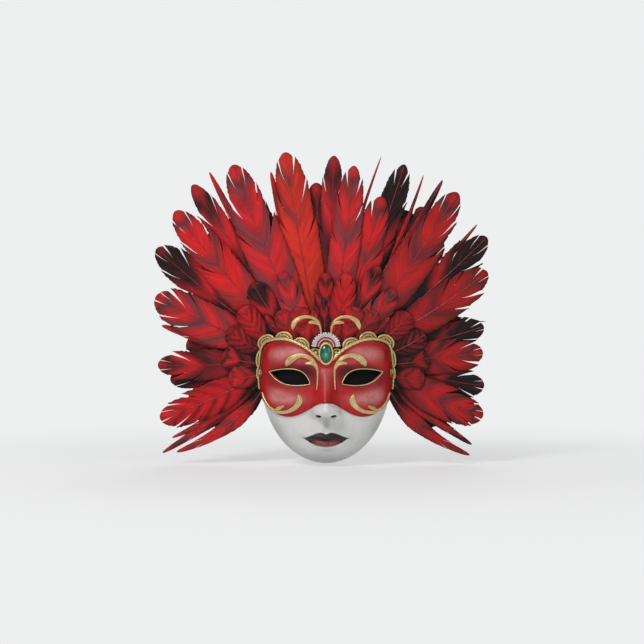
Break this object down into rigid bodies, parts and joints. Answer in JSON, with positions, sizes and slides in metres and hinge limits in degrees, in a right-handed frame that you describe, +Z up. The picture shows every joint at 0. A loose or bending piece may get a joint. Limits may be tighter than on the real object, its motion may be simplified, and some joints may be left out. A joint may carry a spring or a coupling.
{
  "type": "venetian masquerade mask",
  "caption": "Full-face Venetian mask: white papier-mache face, red lacquered half mask, gold scrolls and cord, green cabochon, and a wide fan of red and black feathers.",
  "frame": {"origin": "middle of the eyes, in the plane of the rim that rests on the wearer's face", "axes": "+Z up, the face looks along -Y, +X is to the right of a person facing the mask"},
  "size_m": [0.4237, 0.0872, 0.3918],
  "materials": {
    "white_paper": "satin",
    "red_lacquer": "gloss",
    "buckram": "matte",
    "foam": "matte",
    "black_net": "matte",
    "brass": "polished",
    "gold_relief": "satin",
    "gold_cord": "satin",
    "gold_braid": "satin",
    "green_glass": "polished",
    "white_lace": "matte",
    "red_ribbon": "satin",
    "feather_red": "matte",
    "feather_dark": "matte"
  },
  "bodies": {
    "root": {"face_shell": "white_paper", "half_mask": "red_lacquer", "feather_band": "buckram", "forehead_pad": "foam", "gem_bezel": "gold_relief", "gem_cabochon": "green_glass", "lace_rosette": "white_lace", "rosette_band": "red_ribbon", "rosette_core": "white_lace", "eye_screen_right": "black_net", "eye_screen_left": "black_net", "eyelet_right": "brass", "eyelet_left": "brass", "washer_right": "brass", "washer_left": "brass", "eye_rim_right": "gold_relief", "eye_rim_left": "gold_relief", "brow_scroll_right": "gold_relief", "brow_scroll_left": "gold_relief", "cheek_scroll_right": "gold_relief", "cheek_scroll_left": "gold_relief", "crest_scroll_right": "gold_relief", "crest_scroll_left": "gold_relief", "edge_cord_right": "gold_cord", "edge_cord_left": "gold_cord", "scallop_trim_right": "gold_braid", "scallop_trim_left": "gold_braid", "feather_01": "feather_red", "feather_02": "feather_red", "feather_03": "feather_red", "feather_04": "feather_dark", "feather_05": "feather_dark", "feather_06": "feather_red", "feather_07": "feather_red", "feather_08": "feather_dark", "feather_09": "feather_red", "feather_10": "feather_dark", "feather_11": "feather_red", "feather_12": "feather_red", "feather_13": "feather_red", "feather_14": "feather_red", "feather_15": "feather_dark", "feather_16": "feather_red", "feather_17": "feather_red", "feather_18": "feather_dark", "feather_19": "feather_red", "feather_20": "feather_red", "feather_21": "feather_dark", "feather_22": "feather_red", "feather_23": "feather_dark", "feather_24": "feather_red", "feather_25": "feather_dark", "feather_26": "feather_red", "feather_27": "feather_red", "feather_28": "feather_dark", "feather_29": "feather_red", "feather_30": "feather_red", "feather_31": "feather_red", "feather_32": "feather_dark", "feather_33": "feather_red"}
  },
  "joints": []
}
